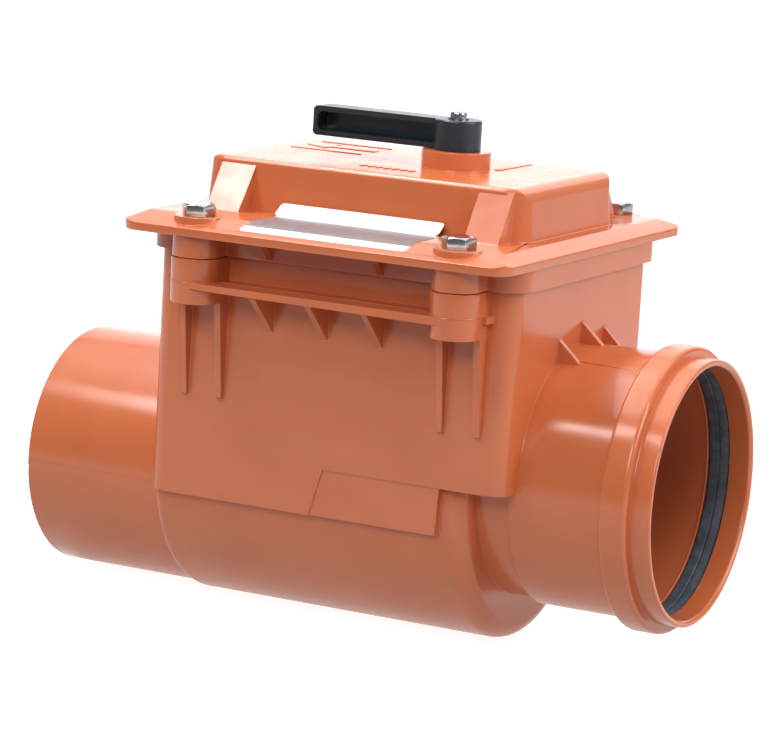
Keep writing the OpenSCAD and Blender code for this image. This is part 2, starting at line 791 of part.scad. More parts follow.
// Leaning seat with a sleeve for the neck and two ears for the hinge
module seat_frame() {
    color(grey_plastic) difference() {
        union() {
            at_seat() bar_x(0, seat_t, seat_out_r);
            difference() {
                bar_x(seat_x - seat_out_r, sleeve_end, sleeve_r, axis_step);
                at_seat() translate([-2 * seat_out_r, -seat_out_r, -2 * seat_out_r])
                    cube([2 * seat_out_r, 2 * seat_out_r, 4 * seat_out_r]);
            }
            at_seat() for (s = [-1, 1]) translate([0, s * (ear_in + ear_t / 2), 0]) hinge_ear();
        }
        bar_x(seat_x - seat_out_r, sleeve_end + over, seat_bore_r, axis_step);
        translate([oring_x, 0, axis_step]) rotate([0, 90, 0])
            flat_ring(sleeve_r - oring_groove, sleeve_r + over, oring_w);
        at_hinge() rotate([90, 0, 0]) cylinder(h = 2 * pin_half, r = hinge_r + push_fit, center = true);
    }
}

module seat_oring() {
    color(black_rubber) translate([oring_x + push_fit, 0, axis_step]) rotate([0, 90, 0])
        soft_ring(sleeve_r - oring_groove + push_fit, neck_r - push_fit, oring_w - 2 * push_fit, oring_edge);
}

module hinge_pin() {
    color(zinc) at_hinge() rotate([90, 0, 0]) difference() {
        cylinder(h = 2 * pin_half, r = hinge_r, center = true);
        for (s = [-1, 1]) translate([0, 0, s * (clip_y + clip_t / 2) - clip_t / 2 - push_fit])
            flat_ring(hinge_r - clip_groove, hinge_r + over, clip_t + 2 * push_fit);
    }
}

// Snap rings on the ends of the hinge pin
module hinge_clips() {
    color(zinc) at_hinge() rotate([90, 0, 0]) for (s = [-1, 1])
        translate([0, 0, s * (clip_y + clip_t / 2) - clip_t / 2]) difference() {
            flat_ring(hinge_r - clip_groove + push_fit, hinge_r + clip_w, clip_t);
            translate([0, -hinge_r - clip_w / 2, clip_t / 2])
                cube([hinge_r, hinge_d, 2 * clip_t], center = true);
        }
}

// Disc of the flap with a rim and ribs on its back
module flap_disc() {
    at_seat() {
        bar_x(-flap_back, -flap_face, flap_r);
        intersection() {
            bar_x(-flap_back - flap_rib_h, -flap_face, flap_r);
            union() {
                translate([-flap_back - flap_rib_h, 0, 0]) rotate([0, 90, 0])
                    flat_ring(flap_r - flap_rim_w, flap_r + over, flap_rib_h + sink);
                for (s = [-1, 1]) translate([-flap_back - flap_rib_h, s * flap_rib_y - flap_rib_t / 2, -flap_r])
                    cube([flap_rib_h + sink, flap_rib_t, 2 * flap_r]);
                for (z = [-flap_rib_y, flap_rib_y])
                    translate([-flap_back - flap_rib_h, -flap_r, z - flap_rib_t / 2])
                        cube([flap_rib_h + sink, 2 * flap_r, flap_rib_t]);
            }
        }
    }
}

module flap() {
    color(black_plastic) difference() {
        union() {
            flap_disc();
            at_seat() translate([-flap_back, -flap_neck_half, flap_r - flap_neck_root])
                cube([flap_t, 2 * flap_neck_half, hinge_u - flap_r + flap_neck_root]);
            at_hinge() rotate([90, 0, 0]) cylinder(h = 2 * barrel_half, r = barrel_r, center = true);
            translate([hinge_x - lug_len, -lug_w / 2, lug_top - lug_h]) cube([lug_len, lug_w, lug_h]);
        }
        at_hinge() rotate([90, 0, 0])
            cylinder(h = 2 * barrel_half + 2 * over, r = hinge_r + run_fit, center = true);
        at_seat() each_flap_screw() bar_x(-flap_back - flap_rib_h - over, over, screw_r + push_fit);
    }
}

// Copies at the screws of the flap retainer
module each_flap_screw() {
    for (a = [45:90:315]) rotate([a, 0, 0]) translate([0, 0, screw_ring_r]) children();
}

module flap_seal() {
    color(black_rubber) at_seat() translate([-flap_face, 0, 0]) rotate([0, 90, 0])
        flat_ring(seal_in_r, seal_out_r, seal_t);
}

// Disc that clamps the seal to the flap
module flap_retainer() {
    color(grey_plastic) at_seat() difference() {
        union() {
            bar_x(-flap_face, -seat_gap + sink, seal_in_r - push_fit);
            soft_bar_x(-seat_gap, retainer_lip - seat_gap, retainer_lip_r, retainer_edge);
        }
        each_flap_screw() bar_x(-flap_face - over, retainer_lip + over, screw_r + push_fit);
    }
}

module flap_screws() {
    color(zinc) at_seat() each_flap_screw() translate([retainer_lip - seat_gap, 0, 0]) rotate([0, 90, 0])
        pan_screw(flap_screw_len);
}

// Outline of the lever seen from the side, from the hub axis to the tip
module lever_outline(inset) {
    l = lever_len - inset;
    translate([-l, inset]) {
        r = lever_corner;
        translate([r, 0]) square([l - r, lever_h - 2 * inset]);
        translate([0, r]) square([l, lever_h - 2 * inset - 2 * r]);
        for (h = [r, lever_h - 2 * inset - r]) translate([r, h]) circle(r);
    }
}

module lever() {
    pocket_d = lever_w - lever_back;
    color(black_plastic) translate([spindle_x, 0, lever_z]) difference() {
        union() {
            rotate_extrude() {
                square([hub_r - hub_edge, lever_h]);
                square([hub_r, lever_h - hub_edge]);
                translate([hub_r - hub_edge, lever_h - hub_edge]) circle(hub_edge);
            }
            plate_xz(lever_w) lever_outline(0);
        }
        difference() {
            plate_xz(pocket_d + over, -lever_w / 2 + pocket_d / 2 - over / 2) lever_outline(lever_rim);
            translate([0, 0, -over]) cylinder(h = lever_h + 2 * over, r = hub_r);
        }
        translate([0, 0, (drive_top - lever_z) / 2 - over / 2]) cube([
            spindle_flats + 2 * drive_gap, spindle_flats + 2 * drive_gap, drive_top - lever_z + over
        ], center = true);
        cylinder(h = lever_h + over, r = screw_r + push_fit);
    }
}

module lever_washer() {
    color(zinc) translate([spindle_x, 0, lever_top])
        flat_ring(screw_r + push_fit, screw_head_r + washer_over, lever_washer_t);
}

module lever_screw() {
    color(zinc) translate([spindle_x, 0, lever_top + lever_washer_t]) pan_screw(lever_screw_len);
}

// Turned spindle with square ends, a thrust collar and two seal grooves
module spindle() {
    drive_z = arm_z + arm_t;
    color(zinc) translate([spindle_x, 0, 0]) difference() {
        union() {
            translate([0, 0, drive_z]) cylinder(h = lever_z - drive_z, r = spindle_r);
            translate([0, 0, (arm_z + drive_top) / 2])
                cube([spindle_flats, spindle_flats, drive_top - arm_z - 2 * drive_short], center = true);
            translate([0, 0, collar_top - collar_t]) cylinder(h = collar_t, r = collar_r);
        }
        for (z = spindle_oring_z) translate([0, 0, z - push_fit])
            flat_ring(spindle_r - spindle_groove, spindle_r + over, spindle_oring_w + 2 * push_fit);
        translate([0, 0, drive_top - lever_screw_len])
            cylinder(h = lever_screw_len + over, r = screw_r + push_fit);
        translate([0, 0, arm_z - over]) cylinder(h = arm_screw_len + over, r = screw_r + push_fit);
    }
}

module spindle_orings() {
    color(black_rubber) for (z = spindle_oring_z) translate([spindle_x, 0, z])
        soft_ring(spindle_r - spindle_groove + push_fit, spindle_r + run_fit / 2,
            spindle_oring_w, spindle_oring_edge);
}

module thrust_washer() {
    color(grey_plastic) translate([spindle_x, 0, collar_top])
        flat_ring(spindle_r + push_fit, collar_r, washer_t);
}

// Arm on the foot of the spindle that turns over the heel lug of the flap
module locking_arm() {
    color(black_plastic) translate([spindle_x, 0, arm_z]) difference() {
        union() {
            cylinder(h = arm_t, r = arm_hub_r);
            translate([arm_w / 2 - arm_len, 0, 0]) cylinder(h = arm_t, r = arm_w / 2);
            translate([arm_w / 2 - arm_len, -arm_w / 2, 0]) cube([arm_len - arm_w / 2, arm_w, arm_t]);
        }
        cube([spindle_flats + 2 * drive_gap, spindle_flats + 2 * drive_gap, 3 * arm_t], center = true);
    }
}

module arm_washer() {
    color(zinc) translate([spindle_x, 0, arm_z - washer_t])
        flat_ring(screw_r + push_fit, spindle_flats / sqrt(2) + washer_over, washer_t);
}

module arm_screw() {
    color(zinc) translate([spindle_x, 0, arm_z - washer_t]) rotate([180, 0, 0])
        pan_screw(arm_screw_len - arm_screw_end);
}

valve_body();
socket_seal();
bolt_inserts();
cover();
cover_gasket();
cover_bolts();
seat_frame();
seat_oring();
hinge_pin();
hinge_clips();
flap();
flap_seal();
flap_retainer();
flap_screws();
lever();
lever_screw();
lever_washer();
spindle();
spindle_orings();
thrust_washer();
locking_arm();
arm_screw();
arm_washer();
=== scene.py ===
# Looks of a backwater valve: terracotta body and cover, black lever, rubber seal and zinc bolts
import math

import bmesh
import bpy
from mathutils import Matrix, Vector


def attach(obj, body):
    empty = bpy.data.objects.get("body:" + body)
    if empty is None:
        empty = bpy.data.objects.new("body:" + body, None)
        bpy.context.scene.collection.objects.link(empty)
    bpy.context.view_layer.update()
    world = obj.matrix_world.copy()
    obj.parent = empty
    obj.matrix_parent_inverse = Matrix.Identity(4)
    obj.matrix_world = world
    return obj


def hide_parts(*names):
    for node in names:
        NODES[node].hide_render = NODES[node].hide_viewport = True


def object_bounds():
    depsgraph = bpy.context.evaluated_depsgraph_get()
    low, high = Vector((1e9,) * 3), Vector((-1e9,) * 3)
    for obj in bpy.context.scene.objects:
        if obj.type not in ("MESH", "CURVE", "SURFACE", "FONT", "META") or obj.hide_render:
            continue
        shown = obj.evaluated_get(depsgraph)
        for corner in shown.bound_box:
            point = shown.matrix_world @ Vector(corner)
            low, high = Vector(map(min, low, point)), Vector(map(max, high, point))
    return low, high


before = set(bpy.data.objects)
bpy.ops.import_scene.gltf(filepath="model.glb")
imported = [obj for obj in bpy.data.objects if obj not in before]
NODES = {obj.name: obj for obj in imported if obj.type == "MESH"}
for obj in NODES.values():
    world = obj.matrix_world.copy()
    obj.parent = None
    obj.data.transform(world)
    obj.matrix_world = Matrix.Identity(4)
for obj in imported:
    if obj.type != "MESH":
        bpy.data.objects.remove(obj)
cad_box = [list(corner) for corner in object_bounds()]

MM = 0.001
QUARTER_TURN = math.radians(90)
HALF_TURN = math.radians(180)

# Points closer than this count as one
MERGE = 0.01 * MM

# Edges of moulded pieces
EASE_WIDTH = 0.5 * MM
EASE_ANGLE = math.radians(35)
SMOOTH_ANGLE = math.radians(28)

# Sides of round pieces
SCREW_SIDES = 48
CONE_SIDES = 96
RING_SIDES = 128

# Camera at the photograph's angle
IMAGE_WIDTH = 780
FOCAL_PIXELS = 3541.5
SENSOR_WIDTH = 36
CAMERA_PLACE = Vector((0.86404, -1.4018, 0.3340))
CAMERA_RIGHT = Vector((0.88643, 0.45929, 0.05702))
CAMERA_UP = Vector((-0.13041, 0.12967, 0.98292))
CAMERA_BACK = Vector((0.44407, -0.87876, 0.17485))

# Levels and places on the cover that no node's box gives
BOLT_HEAD = 5.3 * MM
DOME_RISE = 22.8 * MM
BEVEL_WIDTH = 15.6 * MM
BEVEL_RISE = 4.3 * MM
BOLT_LINE_SHIFT = 2 * MM

# Places of the moulding lines on the body
FLASH = 0.2 * MM
SPIGOT_LENGTH = 73 * MM
SPIGOT_R = 55 * MM
SPIGOT_LEVEL = 0
SOCKET_LEVEL = 21 * MM
SOCKET_START = 250 * MM
SOCKET_END = 310.4 * MM
NECK_R = 56.2 * MM
SOCKET_R = 55.4 * MM
BEAD_SPAN = (288 * MM, 301.5 * MM)
BEAD_R = 60.7 * MM
LEDGE_LEVEL = 98.3 * MM
LEDGE_FLASH_Y = 73 * MM

# Stickers
PAPER = 0.12 * MM
AIR = 0.03 * MM
STICKER_LENGTH = 80 * MM
STICKER_FRONT = 4.2 * MM
STICKER_BACK = 57.5 * MM
STICKER_CORNER = 2 * MM
STICKER_BAND = (-85.5 * MM, -60.0 * MM)
STICKER_INK_EDGE = 0.3 * MM
STRIP_WIDTH = 8.6 * MM
STRIP_FOOT = 57.4 * MM
STRIP_LIFT = 2 * PAPER
STRIP_LEAN = math.radians(34)
MAIN_STICKER_SHIFT = 2.2 * MM
STRIP_SHIFT = 0.8 * MM

# Raised marks on the dome
MARK_HEIGHT = 0.35 * MM
MARK_EDGE = 0.15 * MM
ARROW_OUT = 66 * MM
ARROW_Y = 23 * MM
ARROW_LENGTH = 36 * MM
ARROW_HEAD = 9 * MM
ARROW_SHAFT = 5 * MM
BORDER_GAP = 15 * MM
BAR_WIDTH = 2.2 * MM
BAR_CORNER_SHARE = 0.3
TICK_COUNT = 7
TICK_START = -10 * MM
TICK_STEP = 4 * MM
TICK_Y = -28 * MM
TICK_LENGTH = 5 * MM
STOP_X = 38 * MM
STOP_Y = 25 * MM
STOP_WIDTH = 3.4 * MM
STOP_LENGTH = 34 * MM

# Sections in the socket's bore, in millimetres: distance from the rubber ring's inner side,
# and height over the bore
RING_SECTION = (
    (0.3, 4.9), (9.4, 4.9), (9.7, 4.6), (9.7, 2.3), (9.2, 1.2), (7.9, 0.62), (5.6, 0.40),
    (5.3, 0.75), (4.9, 0.75), (4.6, 0.30), (2.6, 0.16), (1.7, 0.05), (0.9, 0.05), (0.35, 0.4),
    (0.1, 1.1), (0.1, 4.6),
)
BEAD_SECTION = (
    (-0.2, 0.4), (-0.2, 0.1), (-0.3, -0.15), (-0.55, -0.3), (-0.8, -0.3), (-1.05, -0.15),
    (-1.15, 0.1), (-1.15, 0.4),
)

# Pan head screws with a cross recess
SCREW_HEAD_R = 3.7 * MM
SCREW_HEAD_H = 2.6 * MM
SCREW_HEAD_ROUND = 0.42 * SCREW_HEAD_H
SCREW_SHANK_R = 2 * MM
SCREW_TIP = 0.4 * MM
RECESS_SPAN = 4.0 * MM
RECESS_WIDTH = 0.8 * MM
RECESS_DEPTH = 1.5 * MM
RECESS_TAPER = 0.5
LEVER_SCREW_LENGTH = 11 * MM
FLAP_SCREW_LENGTH = 8.4 * MM
FLAP_SCREW_RING = 30 * MM
FLAP_SCREW_LEVEL = 1.9 * MM
FLAP_SCREW_TURNS = (45, 135, 225, 315)
SEAT_PLACE = (208.6 * MM, 0, 21 * MM)
SEAT_LEAN = math.radians(10)

# Hexagon bolts of the cover
HEAD_FLATS = 13 * MM
HEAD_CORNER_R = HEAD_FLATS / math.sqrt(3)
HEAD_TOP_R = 0.47 * HEAD_FLATS
HEAD_TURN = math.radians(15)
HEAD_CHAMFER = math.radians(30)
HEAD_EDGE = 0.15 * MM
HEAD_EDGE_ANGLE = math.radians(40)
BOLT_R = 4 * MM
BOLT_LENGTH = 35 * MM
BOLT_TIP = MM

# Finish colours, linear, and how much deeper or paler their patches are
TERRACOTTA = (0.568, 0.146, 0.053)
TERRACOTTA_DEEP = (0.535, 0.132, 0.046)
LEVER_BLACK = (0.014, 0.022, 0.031)
LEVER_SHADE = 0.8
RUBBER_BLACK = (0.040, 0.056, 0.075)
RUBBER_BLOOM_SHADE = 2.2
DUST_COLOUR = (0.4, 0.4, 0.39)
GREY_PLASTIC = (0.26, 0.28, 0.29)
GREY_SHADE = 0.85
ZINC = (0.46, 0.46, 0.45)
BRASS = (0.62, 0.42, 0.14)
METAL_SHADE = 0.72
PAPER_WHITE = (0.86, 0.87, 0.88)
PAPER_SHADE = 0.95
INK_GREY = (0.15, 0.125, 0.13)
INK_SHADE = 1.7
WHITE = (1, 1, 1, 1)

# Noise in the finishes, scaled in patches per metre, and the span of it that shows
UNIT = (0.0, 1.0)
BUMP_DEPTH = 0.1 * MM
CLOUD = {"scale": 28, "detail": 4}
CLOUD_SPAN = (0.35, 0.65)
SPECK = {"scale": 900, "detail": 2}
SPECK_SPAN = (0.74, 0.80)
SPECK_STRENGTH = (0.0, 0.6)
SPECK_SHADE = 0.45
SMEAR = {"scale": 90, "detail": 5, "roughness": 0.6}
SMEAR_SPAN = (0.3, 0.7)
SMEAR_CHANGE = (-0.03, 0.05)
PEEL = {"scale": 700, "detail": 3}
BLOOM = {"scale": 160, "detail": 5, "roughness": 0.65}
BLOOM_SPAN = (0.4, 0.75)
RUBBER_ROUGHNESS = (0.42, 0.62)
DUST = {"scale": 1600, "detail": 2}
DUST_SPAN = (0.70, 0.78)
DUST_STRENGTH = (0.0, 0.8)
RUBBER_GRAIN = {"scale": 1200, "detail": 3}
RUBBER_GRAIN_STRENGTH = 0.25
METAL_PATCH = {"scale": 260, "detail": 4, "roughness": 0.6}
METAL_PATCH_SPAN = (0.35, 0.7)
METAL_PATCH_DULL = 0.08
SCRATCH_DETAIL = 2
SCRATCH_STRENGTH = 0.03
FIBRE = {"scale": 500, "detail": 4}
FIBRE_SPAN = (0.3, 0.7)
PAPER_ROUGHNESS = (0.28, 0.40)

# Floor that the camera sees, and table top that only shows as a reflection
FLOOR_DROP = 0.5 * MM
FLOOR_MIDDLE = (0.15, 0)
FLOOR_SIZE = (12, 12)
FLOOR_GLOW = 0.85
TABLE_MIDDLE = (0.4, 1.5)
TABLE_SIZE = (4.0, 4.9)
TABLE_GLOW = 0.62
FLOOR_NOISE = {"scale": 3, "detail": 2}
FLOOR_NOISE_SPAN = (0.3, 0.7)
FLOOR_TONE = (0.36, 0.39)
FLOOR_ROUGHNESS = 0.8

# White room: directions from front to back and from below to above, and its brightness there
ROOM_DEPTH = (-0.95, 0.1)
ROOM_DEPTH_GLOW = (0.54, 1.08)
ROOM_HEIGHT = (-0.7, 0.2)
ROOM_HEIGHT_GLOW = (0.86, 0.30)

# Soft boxes: name, place, target, direction of the length, length and width, watts
MIDDLE = (0.15, 0, 0.05)
ACROSS = (1, 0, 0)
INWARD = (0, 1, 0)
LIGHTS = (
    ("overhead_box", (0.10, 0.35, 1.9), MIDDLE, ACROSS, (2.6, 2.2), 26),
    ("left_box", (-0.724, -0.829, 1.369), (0.095, -0.052, 0.141), ACROSS, (0.15, 0.34), 5.4),
    ("top_strip", (-0.56, -0.02, 1.58), (0.15, -0.04, 0.14), INWARD, (1.3, 0.20), 14),
    ("socket_box", (-0.44, -1.07, 1.36), (0.27, -0.05, 0.05), ACROSS, (0.30, 0.20), 3),
    ("front_box", (0.50, -2.6, 1.6), MIDDLE, ACROSS, (1.6, 1.0), 39),
    ("right_box", (1.7, 0.15, 0.9), MIDDLE, INWARD, (1.1, 1.0), 20),
    ("back_panel", (-2.6, 5.4, 2.3), (0.15, 0, 0.15), ACROSS, (9.0, 4.4), 175),
)

# CAD nodes of each material slot
SLOT_NODES = {
    "terracotta_plastic": ["valve_body", "cover"],
    "black_rubber": ["socket_seal", "cover_gasket", "seat_oring", "flap_seal", "spindle_orings"],
    "black_plastic": ["flap", "lever", "locking_arm"],
    "grey_plastic": ["seat_frame", "flap_retainer", "thrust_washer"],
    "zinc_steel": ["cover_bolts", "hinge_pin", "hinge_clips", "flap_screws", "lever_screw",
                   "lever_washer", "spindle", "arm_screw", "arm_washer"],
    "brass": ["bolt_inserts"],
}


# Modelling steps


def deselect_all():
    """Leaves nothing selected, so that an operator acts on one piece alone."""
    if bpy.context.mode != "OBJECT":
        bpy.ops.object.mode_set(mode="OBJECT")
    bpy.ops.object.select_all(action="DESELECT")


def pick(piece):
    """Makes one piece selected and active."""
    deselect_all()
    piece.select_set(True)
    bpy.context.view_layer.objects.active = piece


def edit(piece):
    """Opens one piece in edit mode with everything on it selected."""
    pick(piece)
    bpy.ops.object.mode_set(mode="EDIT")
    bpy.ops.mesh.select_all(action="SELECT")


def select_points(piece, test):
    """Selects the points of a piece in edit mode whose place passes a test."""
    bpy.ops.mesh.select_mode(type="VERT")
    bpy.ops.mesh.select_all(action="DESELECT")
    shape = bmesh.from_edit_mesh(piece.data)
    for point in shape.verts:
        point.select_set(test(point.co))
    shape.select_flush_mode()
    bmesh.update_edit_mesh(piece.data)


def settle(piece, name):
    """Names a new piece and puts its place, turn and scale into its mesh."""
    pick(piece)
    piece.name = name
    bpy.ops.object.transform_apply(location=True, rotation=True, scale=True)
    return piece


def add_plate(name, middle, length, width):
    """Flat plate of one face, to be shaped further."""
    deselect_all()
    bpy.ops.mesh.primitive_plane_add(size=1, location=middle)
    plate = bpy.context.object
    plate.scale = (length, width, 1)
    return settle(plate, name)


def link_mesh(name, mesh):
    """New piece of a mesh that no other piece uses."""
    piece = bpy.data.objects.new(name, mesh)
    bpy.context.scene.collection.objects.link(piece)
    return piece


def copy_piece(piece, name, place):
    """A copy with a mesh of its own, moved by a matrix."""
    twin = link_mesh(name, piece.data.copy())
    twin.data.transform(place)
    return twin


def apply_modifier(piece, kind, **settings):
    """Shapes a piece with a modifier and applies it."""
    pick(piece)
    modifier = piece.modifiers.new(kind.lower(), kind)
    for setting, value in settings.items():
        setattr(modifier, setting, value)
    bpy.ops.object.modifier_apply(modifier=modifier.name)


def cut(piece, operation, tool):
    """Shapes a piece with another, which is used up."""
    apply_modifier(piece, "BOOLEAN", operation=operation, object=tool, solver="EXACT")
    bpy.data.objects.remove(tool)


def join(pieces, name):
    """Makes several pieces one."""
    deselect_all()
    for piece in pieces:
        piece.select_set(True)
    bpy.context.view_layer.objects.active = pieces[0]
    bpy.ops.object.join()
    return settle(pieces[0], name)


def smooth(piece):
    """Shades a piece smooth, apart from its sharp edges."""
    pick(piece)
    bpy.ops.object.shade_smooth_by_angle(angle=SMOOTH_ANGLE)


def add_to_housing(piece):
    """Lets a piece that stands for no CAD node ride the housing."""
    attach(piece, "housing")
    return piece


def stand_for(piece, node, body):
    """Lets a piece ride a body in place of a CAD node."""
    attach(piece, body)
    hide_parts(node)
    return piece


def node_box(name):
    """Lowest and highest corner of a CAD node."""
    corners = [Vector(corner) for corner in NODES[name].bound_box]
    low = Vector([min(corner[axis] for corner in corners) for axis in range(3)])
    high = Vector([max(corner[axis] for corner in corners) for axis in range(3)])
    return low, high


def make_camera():
    """Camera with the place, turn and lens that were fitted to the photograph."""
    data = bpy.data.cameras.new("photo_camera")
    data.sensor_width = SENSOR_WIDTH
    data.lens = FOCAL_PIXELS * SENSOR_WIDTH / IMAGE_WIDTH
    camera = bpy.data.objects.new("photo_camera", data)
    bpy.context.scene.collection.objects.link(camera)
    turn = Matrix((CAMERA_RIGHT, CAMERA_UP, CAMERA_BACK)).transposed()
    camera.matrix_world = Matrix.Translation(CAMERA_PLACE) @ turn.to_4x4()
    bpy.context.scene.camera = camera


# Finishes


def new_finish(name):
    """New node material: itself, its nodes, links and principled shader."""
    material = bpy.data.materials.new(name)
    material.use_nodes = True
    tree = material.node_tree
    return material, tree.nodes, tree.links, tree.nodes["Principled BSDF"]


def scaled(colour, factor):
    """A colour with each part multiplied."""
    return tuple(factor * part for part in colour)


def noise(nodes, links, scale, detail, roughness=0.5):
    """Noise on the object's own coordinates."""
    place = nodes.new("ShaderNodeTexCoord")
    texture = nodes.new("ShaderNodeTexNoise")
    texture.inputs["Scale"].default_value = scale
    texture.inputs["Detail"].default_value = detail
    texture.inputs["Roughness"].default_value = roughness
    links.new(place.outputs["Object"], texture.inputs["Vector"])
    return texture.outputs["Fac"]


def remap(nodes, links, value, span, result):
    """Spreads a value from one span to another, kept inside the new one."""
    node = nodes.new("ShaderNodeMapRange")
    sockets = ("From Min", "From Max", "To Min", "To Max")
    for socket, number in zip(sockets, (*span, *result)):
        node.inputs[socket].default_value = number
    links.new(value, node.inputs["Value"])
    return node.outputs["Result"]


def multiply(nodes, links, first, second):
    """Product of two values."""
    node = nodes.new("ShaderNodeMath")
    node.operation = "MULTIPLY"
    links.new(first, node.inputs[0])
    links.new(second, node.inputs[1])
    return node.outputs["Value"]


def mix_colours(nodes, links, factor, first, second):
    """Colour between two, where each is a fixed colour or a socket."""
    node = nodes.new("ShaderNodeMix")
    node.data_type = "RGBA"
    links.new(factor, node.inputs["Factor"])
    for socket, colour in ((node.inputs[6], first), (node.inputs[7], second)):
        if isinstance(colour, tuple):
            socket.default_value = (*colour, 1.0)
        else:
            links.new(colour, socket)
    return node.outputs[2]


def bump(nodes, links, bsdf, height, strength):
    """Fine relief on a shader."""
    node = nodes.new("ShaderNodeBump")
    node.inputs["Strength"].default_value = strength
    node.inputs["Distance"].default_value = BUMP_DEPTH
    links.new(height, node.inputs["Height"])
    links.new(node.outputs["Normal"], bsdf.inputs["Normal"])


def moulded_finish(name, colour, shade, roughness, peel):
    """Moulded plastic: cloudy colour, specks, uneven gloss and a faint orange peel."""
    material, nodes, links, bsdf = new_finish(name)
    cloud = remap(nodes, links, noise(nodes, links, **CLOUD), CLOUD_SPAN, UNIT)
    speck = remap(nodes, links, noise(nodes, links, **SPECK), SPECK_SPAN, SPECK_STRENGTH)
    body = mix_colours(nodes, links, cloud, shade, colour)
    speckled = mix_colours(nodes, links, speck, body, scaled(colour, SPECK_SHADE))
    links.new(speckled, bsdf.inputs["Base Color"])
    smear_span = [roughness + change for change in SMEAR_CHANGE]
    smear = remap(nodes, links, noise(nodes, links, **SMEAR), SMEAR_SPAN, smear_span)
    links.new(smear, bsdf.inputs["Roughness"])
    bump(nodes, links, bsdf, noise(nodes, links, **PEEL), peel)
    return material


def rubber_finish():
    """Matt rubber with bloom and dust specks."""
    material, nodes, links, bsdf = new_finish("black_rubber_finish")
    bloom = remap(nodes, links, noise(nodes, links, **BLOOM), BLOOM_SPAN, UNIT)
    pale = scaled(RUBBER_BLACK, RUBBER_BLOOM_SHADE)
    body = mix_colours(nodes, links, bloom, RUBBER_BLACK, pale)
    dust = remap(nodes, links, noise(nodes, links, **DUST), DUST_SPAN, DUST_STRENGTH)
    dusty = mix_colours(nodes, links, dust, body, DUST_COLOUR)
    links.new(dusty, bsdf.inputs["Base Color"])
    links.new(remap(nodes, links, bloom, UNIT, RUBBER_ROUGHNESS), bsdf.inputs["Roughness"])
    bump(nodes, links, bsdf, noise(nodes, links, **RUBBER_GRAIN), RUBBER_GRAIN_STRENGTH)
    return material


def metal_finish(name, colour, roughness, scratches):
    """Plated or turned metal: patchy colour, uneven polish and fine scratches."""
    material, nodes, links, bsdf = new_finish(name)
    patch = remap(nodes, links, noise(nodes, links, **METAL_PATCH), METAL_PATCH_SPAN, UNIT)
    patchy = mix_colours(nodes, links, patch, colour, scaled(colour, METAL_SHADE))
    links.new(patchy, bsdf.inputs["Base Color"])
    bsdf.inputs["Metallic"].default_value = 1.0
    polish = remap(nodes, links, patch, UNIT, (roughness, roughness + METAL_PATCH_DULL))
    links.new(polish, bsdf.inputs["Roughness"])
    height = noise(nodes, links, scratches, SCRATCH_DETAIL)
    bump(nodes, links, bsdf, height, SCRATCH_STRENGTH)
    return material


def paper_finish():
    """Blank sticker: white paper with faint fibres and one plain grey band along it."""
    material, nodes, links, bsdf = new_finish("sticker_finish")
    place = nodes.new("ShaderNodeTexCoord")
    split = nodes.new("ShaderNodeSeparateXYZ")
    links.new(place.outputs["Object"], split.inputs["Vector"])
    edges = []
    for start, result in zip(STICKER_BAND, (UNIT, UNIT[::-1])):
        span = (start, start + STICKER_INK_EDGE)
        edges.append(remap(nodes, links, split.outputs["Y"], span, result))
    inside = multiply(nodes, links, *edges)
    fibre = remap(nodes, links, noise(nodes, links, **FIBRE), FIBRE_SPAN, UNIT)
    paper = mix_colours(nodes, links, fibre, PAPER_WHITE, scaled(PAPER_WHITE, PAPER_SHADE))
    ink = mix_colours(nodes, links, fibre, INK_GREY, scaled(INK_GREY, INK_SHADE))
    links.new(mix_colours(nodes, links, inside, paper, ink), bsdf.inputs["Base Color"])
    links.new(remap(nodes, links, fibre, UNIT, PAPER_ROUGHNESS), bsdf.inputs["Roughness"])
    return material


def make_finishes():
    """Finish of each material slot, and of the stickers, which have no slot."""
    return {
        "terracotta_plastic": moulded_finish(
            "terracotta_plastic_finish", TERRACOTTA, TERRACOTTA_DEEP, roughness=0.19, peel=0.004),
        "black_plastic": moulded_finish(
            "black_plastic_finish", LEVER_BLACK, scaled(LEVER_BLACK, LEVER_SHADE),
            roughness=0.30, peel=0.10),
        "grey_plastic": moulded_finish(
            "grey_plastic_finish", GREY_PLASTIC, scaled(GREY_PLASTIC, GREY_SHADE),
            roughness=0.38, peel=0.15),
        "black_rubber": rubber_finish(),
        "zinc_steel": metal_finish("zinc_steel_finish", ZINC, roughness=0.12, scratches=2200),
        "brass": metal_finish("brass_finish", BRASS, roughness=0.30, scratches=1800),
        "sticker": paper_finish(),
    }


def set_finish(piece, material):
    """Gives a piece one material."""
    piece.data.materials.clear()
    piece.data.materials.append(material)


# Moulded shells: copies of the CAD solids whose hard edges are eased


def face_depth(edge, face):
    """How far a face reaches from one of its edges."""
    start, end = (corner.co for corner in edge.verts)
    along = (end - start).normalized()
    offsets = [corner.co - start for corner in face.verts]
    return max((offset - along * offset.dot(along)).length for offset in offsets)


def has_room(edge, room):
    """Whether an edge is sharp, and long and free enough on both sides to be rounded."""
    if len(edge.link_faces) != 2 or edge.calc_face_angle(0) < EASE_ANGLE:
        return False
    if edge.calc_length() < room:
        return False
    return all(face_depth(edge, face) > room for face in edge.link_faces)


